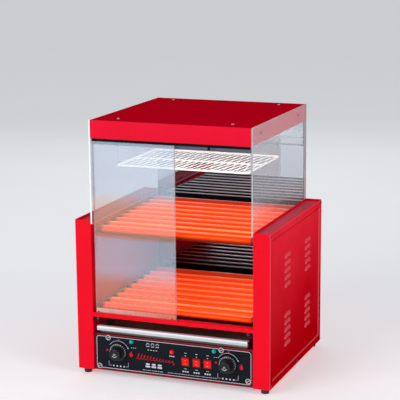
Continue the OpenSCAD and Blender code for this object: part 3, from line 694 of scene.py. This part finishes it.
def cover_height(y, z):
    """How far the pressed cover stands out from its outer face, below zero in its field."""
    inset = min(y - FRONT, BACK - y, z - BASE, HOUSING_TOP - z)
    height = -0.9 * (1 - smooth(inset, 0, 2.4)) - STEP_DEPTH * smooth(inset, 19, 23)
    for ly in LOUVRE_Y:
        across = 1 - smooth(abs(y - ly), LOUVRE_HALF - 9, LOUVRE_HALF)
        for lz in LOUVRE_Z:
            if lz - LOUVRE_FOOT - CUT / 2 < z < lz + LOUVRE_HEAD and across > 0:
                height += LOUVRE_RISE * across * (1 - smooth(z, lz - 4.5, lz + LOUVRE_HEAD))
    return height


def side_cover(side):
    """A pressed cover: flat rim, sloped step, and louvres that open at their lower edge."""
    node = f"{side}_side_cover"
    sign = 1 if side == "right" else -1
    outer = min(box("right_side_cover")[1].x, HOUSING[1].x + COVER_PROUD)
    rim = [0, 0.5, 1.1, 1.8, 2.4, 10, 18, 19, 19.8, 20.5, 21.5, 22.2, 23, 24]
    ys = {FRONT + r for r in rim} | {BACK - r for r in rim}
    for ly in LOUVRE_Y:
        for inset in (LOUVRE_HALF, 9, 7, 5, 3.5, 2, 1, 0, -0.5):
            reach = LOUVRE_HALF - inset
            ys |= {ly - reach, ly + reach}
    zs = {BASE + r for r in rim} | {HOUSING_TOP - r for r in rim}
    foot = -LOUVRE_FOOT
    for lz in LOUVRE_Z:
        zs |= {lz + d for d in (-5.5, foot - CUT, foot, -4.5, -3, -1, 1, 3, 5, 7, 8.5,
                                LOUVRE_HEAD, 10)}
    ys, zs = sorted(ys), sorted(zs)
    shape = Shape()
    grid = [[shape.bm.verts.new((sign * (outer + cover_height(y, z)), y, z)) for z in zs]
            for y in ys]
    for i in range(len(ys) - 1):
        for k in range(len(zs) - 1):
            slot = abs(zs[k + 1] - zs[k]) < 0.05 and any(
                abs((ys[i] + ys[i + 1]) / 2 - ly) < LOUVRE_HALF - 1 for ly in LOUVRE_Y)
            if not slot:
                corners = [grid[i][k], grid[i + 1][k], grid[i + 1][k + 1], grid[i][k + 1]]
                shape.bm.faces.new(corners if sign > 0 else corners[::-1])
    obj = piece(shape, f"{node}_plate", "cabinet", RED_SIDE, [node], angle=50)
    solid = obj.modifiers.new("sheet", "SOLIDIFY")
    solid.thickness = COVER_SHEET * MM
    solid.offset = -1
    shade = obj.modifiers.new("shade", "WEIGHTED_NORMAL")
    shade.keep_sharp = True


side_cover("left")
side_cover("right")


# ---------------------------------------------------------------- drip tray

TRAY_SHEET = 1.1


def drip_tray():
    """Shallow pan with rounded corners and a hemmed lip across its front."""
    lo, hi = box("drip_tray")
    wall = FRONT + 8
    half, lip_half = hi.x - 2, hi.x
    top, floor = hi.z - 1.2, lo.z + 1.2
    shape = Shape()
    rows = []
    for inset, z in ((0, top), (0, floor + 5), (0.4, floor + 2.4), (1.6, floor + 0.8), (4, floor)):
        outline = rounded(-half + inset, wall + inset, half - inset, hi.y - inset, 8 - inset)
        rows.append([shape.bm.verts.new((x, y, z)) for x, y in outline])
    for a, b in zip(rows, rows[1:]):
        for k in range(len(a)):
            n = (k + 1) % len(a)
            shape.bm.faces.new((a[k], a[n], b[n], b[k]))
    shape.bm.faces.new(rows[-1])
    pan = piece(shape, "drip_tray_pan", "drip_tray", STAINLESS, ["drip_tray"])
    solid = pan.modifiers.new("sheet", "SOLIDIFY")
    solid.thickness = TRAY_SHEET * MM
    solid.offset = 1

    lip = Shape()
    y, t, high = lo.y, TRAY_SHEET, hi.z
    low = high - 12.5
    line = [(wall + 1.0, top - 2), (wall + 0.6, top + 0.5), (wall - 0.6, high - t / 2),
            (y + 2.2, high - t / 2), (y + 1.1, high - 0.9), (y + 0.55, high - 2),
            (y + 0.55, high - 6.0), (y + 1.35, high - 6.7), (y + 0.6, high - 7.5),
            (y + 0.6, low + 1.4), (y + 1.1, low + 0.6), (y + 1.9, low + 0.9),
            (y + 2.3, low + 1.8), (y + 2.3, high - 4)]
    outer, inner = [], []
    for i, (py, pz) in enumerate(line):
        before = Vector(line[max(0, i - 1)])
        after = Vector(line[min(len(line) - 1, i + 1)])
        way = (after - before).normalized()
        normal = Vector((-way.y, way.x)) * t / 2
        outer.append((py + normal.x, pz + normal.y))
        inner.append((py - normal.x, pz - normal.y))
    outline = [(max(p[0], y), min(p[1], high)) for p in outer + inner[::-1]]
    lip.prism(outline, (-lip_half, 0, 0), Y, Z, 2 * lip_half)
    piece(lip, "drip_tray_lip", "drip_tray", TRAY_LIP, (), angle=28)


drip_tray()


# ---------------------------------------------------------------- warming rack

def warming_rack():
    """Wire rim with an expanded-metal mesh whose diamonds run from front to back."""
    lo, hi = box("warming_rack")
    r = (hi.z - lo.z) / 2
    z = (lo.z + hi.z) / 2
    shape = Shape()
    rim = [Vector((x, y, z)) for x, y in rounded(lo.x + r, lo.y + r, hi.x - r, hi.y - r, 9)]
    shape.sweep(rim, circle(r, 12), closed=True)
    middle, brace = (lo.y + hi.y) / 2, 1.6
    shape.sweep([Vector((x, middle, z - brace)) for x in (lo.x + r, hi.x - r)], circle(brace, 10))
    piece(shape, "warming_rack_rim", "cabinet", WIRE_GLOW, ["warming_rack"])

    mesh = Shape()
    pitch_x, pitch_y = 9.6, 48.0
    bond, overlap = 4.0, 0.9
    depth = hi.y - lo.y - 2 * r
    rows = int(depth / pitch_y)
    step = depth / rows
    columns = int((hi.x - lo.x - 2 * r) / pitch_x)
    start = -columns * pitch_x / 2
    section = [(-2.1, -1.2), (-1.0, -1.5), (2.1, 1.2), (1.0, 1.5)]
    for c in range(columns + 1):
        path = []
        for k in range(rows + 1):
            side = 1 if (k + c) % 2 else -1
            x = start + c * pitch_x + side * (pitch_x / 2 - overlap)
            x = max(lo.x + r, min(hi.x - r, x))
            y = lo.y + r + k * step
            path += [Vector((x, y + d, z + 0.4 * side)) for d in (-bond, bond)
                     if lo.y + r - 0.1 <= y + d <= hi.y - r + 0.1]
        mesh.sweep(path, section)
    piece(mesh, "warming_rack_mesh", "cabinet", WIRE_GLOW, (), angle=25)


warming_rack()


# ---------------------------------------------------------------- controls

def dial(side):
    """A dial knob: skirt, fluted grip, dished face with an inlaid ring, and spindle."""
    node = f"{side}_dial"
    lo, hi = box(node)
    cx, cz = face_centre(lo, hi)
    skirt = (hi.x - lo.x) / 2
    reach = FACE - lo.y
    face = reach - 1.25
    shape = Shape()
    root = FACE - hi.y
    profile = [(0, root), (2.8, root), (3, root + 0.3), (3, 0.6), (skirt - 0.5, 0.6),
               (skirt, 1.1), (skirt, 3.2), (skirt - 0.4, 3.9), (skirt - 2.6, 5.6), (19.2, 6.0),
               (18.6, 6.3), (18.0, 7.2), (17.6, 10), (17.0, 16), (16.2, reach - 3.4),
               (15.6, reach - 1.8), (14.6, reach - 0.6), (13.4, reach - 0.1), (12.2, reach),
               (11.4, reach - 0.25), (10.9, reach - 1.1), (10.4, face), (5.2, face),
               (4.7, reach - 1.1), (4.3, reach - 0.5), (3.6, reach - 0.35), (0, reach - 0.35)]

    def flutes(a, r, t):
        depth = smooth(t, 7.0, 9.0) * (1 - smooth(t, reach - 3.4, reach - 1.2))
        return -0.55 * depth * max(0.0, math.cos(30 * a)) ** 2 if r > 12 else 0.0

    shape.lathe(profile, (cx, FACE, cz), -Y, segments=180, wobble=flutes)
    piece(shape, f"{node}_knob", node, KNOB, [node], angle=38)

    marks = Shape()
    # The lower arc on the dished face is a painted highlight where the dish's rim catches light.
    dish_highlight = arc(cx, cz, 8.2, 205, 335, 16) + arc(cx, cz, 6.4, 335, 205, 16)
    marks.prism(dish_highlight, (0, FACE - face + 0.2, 0), X, Z, 0.5)
    marks.lathe([(2.0, reach - 0.6), (3.2, reach - 0.6), (3.2, reach - 0.2), (2.0, reach - 0.2)],
                (cx, FACE, cz), -Y, segments=24, ring=True)
    for k in range(17):
        angle = 205 - 14 * k
        wide = 2.4 if 80 < angle < 190 else 1.3
        way = Vector((math.cos(math.radians(angle)), 0, math.sin(math.radians(angle))))
        across = Vector((-way.z, 0, way.x))
        seat = Vector((cx, FACE - 4.2, cz)) + way * (skirt - 3.6)
        tick = [(0, -wide / 2), (2.7, -wide / 2), (2.7, wide / 2), (0, wide / 2)]
        marks.prism(tick, seat, way, across, 2.0)
    piece(marks, f"{node}_marks", node, DIAL_PRINT_AND_HIGHLIGHT, (), edge=0.1)


dial("left")
dial("right")


def rocker(node, joint):
    """A rocker key with two dished halves and a raised mark on each."""
    pivot = joint_place(joint)
    lo, hi = box(node)
    pin_end = (hi.x - lo.x) / 2
    half = pin_end - 0.9
    tilt = math.radians(10)

    def turned(y, z):
        return (y * math.cos(tilt) - z * math.sin(tilt), y * math.sin(tilt) + z * math.cos(tilt))

    def face(t):
        """How far the dished face stands in front of the pivot, from its middle to its ends."""
        return -6 - 1.8 * abs(t) ** 1.7

    reach = 10.2
    outline = [turned(face(k / 6 - 1), (k / 6 - 1) * reach) for k in range(13)]
    outline += [turned(-3, 10.6), turned(6, 8), turned(6, -8), turned(-3, -10.6)]
    shape = Shape()
    origin = (pivot.x - half, pivot.y, pivot.z)
    shape.prism(outline, origin, Y, Z, 2 * half)
    shape.lathe([(0, -pin_end), (1.2, -pin_end), (1.2, pin_end), (0, pin_end)], pivot, X,
                segments=20)
    piece(shape, f"{node}_key", node, ROCKER, [node], edge=0.6, angle=30)

    marks = Shape()
    up = Vector((0, math.sin(-tilt), math.cos(tilt))).normalized()
    for z, wide, high in ((4.8, 0.5, 1.8), (-5.2, 1.5, 1.5)):
        y, height = turned(face(z / reach) + 0.25, z)
        centre = Vector((pivot.x, pivot.y + y, pivot.z + height))
        if z > 0:
            outline = [(-wide, -high), (wide, -high), (wide, high), (-wide, high)]
            marks.prism(outline, centre, X, up, 0.5)
        else:
            marks.lathe([(1.1, 0), (wide, 0), (wide, 0.5), (1.1, 0.5)], centre, -Y, segments=28,
                        ring=True)
    piece(marks, f"{node}_marks", node, INK_PALE, ())


SWITCHES = ("upper_roller_switch", "lower_roller_switch", "light_switch")
for switch in SWITCHES:
    rocker(switch, f"{switch}_rock")


def lamps(node, mat):
    """Faceted lenses with a bright collar."""
    shape = Shape()
    for lo, hi in islands(node):
        cx, cz = face_centre(lo, hi)
        tip = FACE - lo.y
        r = (hi.x - lo.x) / 2
        root = FACE - hi.y
        profile = [(0, root), (r - 1, root), (r - 1, 0), (r, 0), (r, 1.2), (r - 0.3, 1.5),
                   (r * 0.72, tip - 1.1), (r * 0.36, tip - 0.2), (0, tip)]
        shape.lathe(profile, (cx, FACE, cz), -Y, segments=8)
    piece(shape, f"{node}_lens", "cabinet", mat, [node], angle=8)


lamps("power_lamp", LENS_RED)
lamps("heating_lamps", LENS_TEAL)


# ---------------------------------------------------------------- print on the label

INK = 0.09


def flat_section(width):
    return [(-width / 2, -INK / 2), (width / 2, -INK / 2), (width / 2, INK / 2),
            (-width / 2, INK / 2)]


def stroke(shape, points, width):
    """A flat printed line along points (x, z)."""
    path = [Vector((x, FACE - INK / 2, z)) for x, z in points]
    shape.sweep(path, flat_section(width), side=Y)


def outline_print(shape, outline, cx=0.0, cz=0.0):
    """A flat printed area, its outline placed about a point."""
    shape.prism([(cx + x, cz + z) for x, z in outline], (0, FACE, 0), X, Z, INK)


def bar(shape, x0, z0, x1, z1):
    outline_print(shape, [(x0, z0), (x1, z0), (x1, z1), (x0, z1)])


def caption(shape, x, z, lengths, gap, height):
    """A row of short bars where fine print would stand."""
    for length in lengths:
        bar(shape, x, z, x + length, z + height)
        x += length + gap


def label_print():
    """Border, dial scales and simple generic marks: no lettering."""
    pale, red = Shape(), Shape()
    edge = rounded(LABEL[0].x + 2.2, LABEL[0].z + 2.0, LABEL[1].x - 2.2, LABEL[1].z - 2.0, 7)
    pale.sweep([Vector((x, FACE - INK / 2, z)) for x, z in edge], flat_section(1.5),
               side=Y, closed=True)
    flame = [(-4.4, -6.4), (-0.8, -9.0), (3.7, -7.2), (5.1, -2.3), (2.7, 1.7), (0.6, 9.0),
             (-1.3, 3.1), (-3.1, 4.3), (-5.5, -1.4)]
    for side in ("left", "right"):
        cx, cz = face_centre(*box(f"{side}_dial"))
        stroke(pale, arc(cx, cz, 31.5, 146, 26), 1.0)
        outline_print(pale, circle(1.9, 16), cx + 28.6, cz + 13.4)
        for dx in (-1, 1):
            x = cx + dx * 29
            stroke(pale, [(x, cz - 28), (x, cz - 40.5), (x - dx * 8, cz - 40.5)], 0.9)
        caption(pale, cx - 17, cz - 43, [4.0] * 4, 6.4, 4.2)
        outline_print(red, circle(3.0, 16), cx - 34, cz + 2)
        outline_print(red, circle(2.4, 16), cx + 2, cz + 35.4)
        outline_print(red, flame, cx + 38, cz - 2)
    for node in SWITCHES:
        cx, cz = face_centre(*box(node))
        outline_print(pale, [(-2.0, 15.2), (2.0, 15.2), (0, 18.4)], cx, cz)
        bar(pale, cx - 3.4, cz + 23.4, cx + 3.4, cz + 24.8)
        bar(pale, cx - 4.0, cz - 20.8, cx + 4.0, cz - 19.6)
        caption(pale, cx - 8.9, cz - 30.2, [4.6] * 3, 2.0, 4.0)
    for lo, hi in islands("heating_lamps") + islands("power_lamp"):
        cx, cz = face_centre(lo, hi)
        if abs(cx) < 50:
            caption(pale, cx - 7.3, cz - 13.6, [3.8] * 3, 1.6, 3.2)
        else:
            caption(pale, cx - 0.4, cz - 17.6, [2.6] * 3, 2.8, 1.8)
    cx = -56.0
    for k in range(3):
        x = cx - 16 + k * 14
        stroke(pale, arc(x, 102.5, 4.0, 200, -20, 10), 1.4)
        bar(pale, x - 4.6, 96.4, x + 4.6, 98.0)
    caption(pale, cx - 17, 86.4, [4.4] * 4, 3.6, 2.0)
    scroll, loops, steps = [], 12, 20
    x0, base, pitch, bulge, lean = -108.0, 58.5, 9.3, 2.9, 0.3
    for k in range(loops):
        height = 5 + 11 * (1 - k / (loops - 1)) ** 1.6
        for i in range(steps):
            t = i / steps
            rise = height * (1 - math.cos(TAU * t)) / 2
            x = x0 + pitch * (k + t) + bulge * math.sin(TAU * t) + lean * rise
            scroll.append((x, base + rise))
    tail = x0 + pitch * loops
    scroll += [(tail, base), (tail + 0.2 * pitch, base - 4), (tail - 0.3 * pitch, base - 6.6)]
    stroke(red, scroll, 1.15)
    for k in range(3):
        x = -55 + (k - 1) * 17.6
        outline_print(pale, rounded(x - 7, 37.4, x + 7, 42.6, 1.8, 4))
        outline_print(pale, rounded(x - 5.6, 44.4, x + 5.6, 49.4, 1.8, 4))
    caption(pale, -88.0, 28.6, (7, 3, 11, 5, 9, 4, 8), 2, 1.3)
    caption(pale, -14.0, 28.9, (5, 8, 3, 9, 6, 12, 4, 7, 10, 5, 8, 3, 11, 6, 9, 4, 7), 1.6, 1.2)
    piece(pale, "label_print_pale", "cabinet", INK_PALE, (), angle=30)
    piece(red, "label_print_red", "cabinet", INK_RED, (), angle=30)


label_print()


# ---------------------------------------------------------------- fixings, feet and gland

HEAD, RIM = 2.0, 0.5


def screws():
    """Pan-head screws with a slot, one for each screw of the frame."""
    shape = Shape()
    roof = box("top_cover")[1].z
    for lo, hi in islands("screws"):
        size, centre = hi - lo, (lo + hi) / 2
        k = 2 if hi.z > roof else 0 if max(-lo.x, hi.x) > HOUSING[0].x + 3 else 1
        out = Vector((0, 0, 0))
        out[k] = 1 if (centre[k] > 0 and k != 1) else -1
        top = Vector(centre)
        top[k] = hi[k] if out[k] > 0 else lo[k]
        seat = top - out * HEAD
        across = Z if k != 2 else X
        across = Matrix.Rotation(math.radians(35), 3, out) @ across
        slot_way = out.cross(across)
        r = max(size[i] for i in range(3) if i != k) / 2 - RIM
        large = r > 5
        dark = k == 1 or abs(centre.x) > HOUSING[1].x - 2
        gap = 0.9 if large else 0.5
        brim = r - 2.0 if large else r
        dome = [(brim, 0), (brim, 0.7), (brim * 0.92, 1.2), (brim * 0.7, 1.65),
                (brim * 0.4, 1.9), (0, HEAD)]
        for sign in (-1, 1):
            verts, rows = [], []
            steps = 12
            for radius, height in dome:
                row = []
                for i in range(steps + 1):
                    a = math.pi * i / steps
                    side = across * sign * (radius * math.sin(a) + gap)
                    row.append(len(verts))
                    verts.append(seat + slot_way * (radius * math.cos(a)) + side + out * height)
                rows.append(row)
            faces = [tuple(rows[0])]
            for a, b in zip(rows, rows[1:-1]):
                faces += [(a[i], a[i + 1], b[i + 1], b[i]) for i in range(steps)]
            tip = rows[-1][0]
            faces += [(rows[-2][i], rows[-2][i + 1], tip) for i in range(steps)]
            faces.append(tuple([row[0] for row in rows[:-1]] + [tip]
                               + [row[-1] for row in rows[-2::-1]]))
            shape.mesh(verts, faces, 1 if dark else 0)
        end = HEAD - size[k]
        shape.lathe([(0, end), (2, end), (2, 0), (r + RIM, 0), (r + RIM, 0.9), (0, 0.9)],
                    seat, out, 1 if dark and not large else 0, segments=36)
    bmesh.ops.remove_doubles(shape.bm, verts=shape.bm.verts, dist=0.0005)
    piece(shape, "screw_heads", "cabinet", [ZINC, SCREW_DARK], ["screws"], angle=30)


def feet():
    """Rubber feet with a rounded sole and a waist."""
    shape = Shape()
    for lo, hi in islands("feet"):
        cx, cy, h = (lo.x + hi.x) / 2, (lo.y + hi.y) / 2, hi.z
        r = (hi.x - lo.x) / 2
        profile = [(0, 1.2), (3.5, 1.2), (4.2, 0), (r - 2.6, 0), (r - 1.6, 0.5), (r - 1.2, 1.4),
                   (r - 0.9, 6), (r - 0.9, 8.2), (r - 0.3, 9), (r, 10), (r, h - 0.4),
                   (r - 0.4, h), (0, h)]
        shape.lathe(profile, (cx, cy, 0), Z, segments=40)
    piece(shape, "rubber_feet", "cabinet", RUBBER, ["feet"], angle=40)


def gland():
    """Cable gland: hexagonal nuts each side of the panel and a ribbed cap."""
    lo, hi = box("cable_gland")
    cz = (lo.z + hi.z) / 2
    origin = (0, BACK, cz)
    bore, body = 4.2, 8.0
    reach = hi.y - BACK
    shape = Shape()
    tail, nut = lo.y - BACK, 4
    shape.lathe([(bore, tail), (body, tail), (body, nut), (bore, nut)], origin, Y, ring=True,
                segments=48)

    def ribs(a, r, t):
        return 0.3 * max(0.0, math.cos(18 * a)) if r > 7.5 and t > 4.6 else 0.0

    shape.lathe([(bore, nut), (9, nut), (9, 8.2), (8, 9.4), (6.6, reach - 0.6), (5.8, reach),
                 (4.8, reach), (bore, reach - 0.6)], origin, Y, ring=True, segments=108,
                wobble=ribs)
    inner, hexagon = circle(body, 48), circle(11, 6)
    for y0, y1 in ((0, nut), (-7, -4)):
        verts, faces = [], []
        for y in (y0, y1):
            for i in range(48):
                a, b = hexagon[i // 8], hexagon[(i // 8 + 1) % 6]
                t = (i % 8) / 8
                outer = (a[0] + (b[0] - a[0]) * t, a[1] + (b[1] - a[1]) * t)
                verts += [Vector((outer[0], BACK + y, cz + outer[1])),
                          Vector((inner[i][0], BACK + y, cz + inner[i][1]))]
        for i in range(48):
            n = (i + 1) % 48
            a, b, c, d = 2 * i, 2 * n, 2 * i + 96, 2 * n + 96
            faces += [(a, b, b + 1, a + 1), (c, c + 1, d + 1, d), (a, c, d, b),
                      (a + 1, b + 1, d + 1, c + 1)]
        shape.mesh(verts, faces)
    piece(shape, "cable_gland_body", "cabinet", BLACK, ["cable_gland"], angle=40)


screws()
feet()
gland()


# ---------------------------------------------------------------- studio

def area_light(name, place, target, size, power):
    light = bpy.data.lights.new(name, "AREA")
    light.shape = "RECTANGLE"
    light.size, light.size_y = size
    light.energy = power
    obj = bpy.data.objects.new(name, light)
    bpy.context.scene.collection.objects.link(obj)
    obj.location = place
    obj.rotation_euler = (Vector(place) - Vector(target)).to_track_quat("Z", "Y").to_euler()


def studio():
    """A pale floor under soft light from the front, both sides and above."""
    world = bpy.data.worlds.new("studio")
    world.use_nodes = True
    background = world.node_tree.nodes["Background"]
    background.inputs[0].default_value = (0.92, 0.95, 1.0, 1)
    background.inputs[1].default_value = 0.32
    bpy.context.scene.world = world
    mesh = bpy.data.meshes.new("floor")
    half = 40.0
    corners = [(-half, -half, 0), (half, -half, 0), (half, half, 0), (-half, half, 0)]
    mesh.from_pydata(corners, [], [(0, 1, 2, 3)])
    floor = bpy.data.objects.new("floor", mesh)
    bpy.context.scene.collection.objects.link(floor)
    look = Look("pale_floor", specular_ior_level=0.2)
    cloud = look.ramp(look.noise(2.0), 0.3, 0.7, 0.0, 1.0)
    look.set(base_color=look.mix(cloud, (0.8, 0.81, 0.82), (0.84, 0.84, 0.85)), roughness=0.75,
             emission_color=(0.95, 0.97, 1.0), emission_strength=0.36)
    mesh.materials.append(look.mat)
    middle = (0, 0, 0.36)
    area_light("key", (-1.6, -3.4, 1.75), middle, (2.6, 2.0), 76)
    area_light("side", (3.1, -1.0, 2.3), middle, (1.8, 1.6), 34)
    area_light("back", (-1.2, 3.2, 2.2), middle, (2.4, 1.6), 14)


def camera():
    """The photograph's viewing angle."""
    azimuth, elevation, roll = (math.radians(angle) for angle in (21.28, 11.91, -0.47))
    distance, target = 3.8526, Vector((-5.44, 6.0, 463.3)) * MM
    focal_pixels, image_pixels = 1375.5, 400
    data = bpy.data.cameras.new("camera")
    data.sensor_width = 36
    data.lens = focal_pixels * data.sensor_width / image_pixels
    obj = bpy.data.objects.new("camera", data)
    bpy.context.scene.collection.objects.link(obj)
    back = Vector((math.sin(azimuth) * math.cos(elevation),
                   -math.cos(azimuth) * math.cos(elevation), math.sin(elevation)))
    right = Vector((math.cos(azimuth), math.sin(azimuth), 0))
    up = back.cross(right)
    turned_right = right * math.cos(roll) + up * math.sin(roll)
    turned_up = up * math.cos(roll) - right * math.sin(roll)
    rotation = Matrix((turned_right, turned_up, back)).transposed()
    obj.matrix_world = Matrix.Translation(target + back * distance) @ rotation.to_4x4()
    data.clip_start, data.clip_end = 0.1, 200
    bpy.context.scene.camera = obj


studio()
camera()
bpy.context.scene.view_settings.view_transform = "Standard"
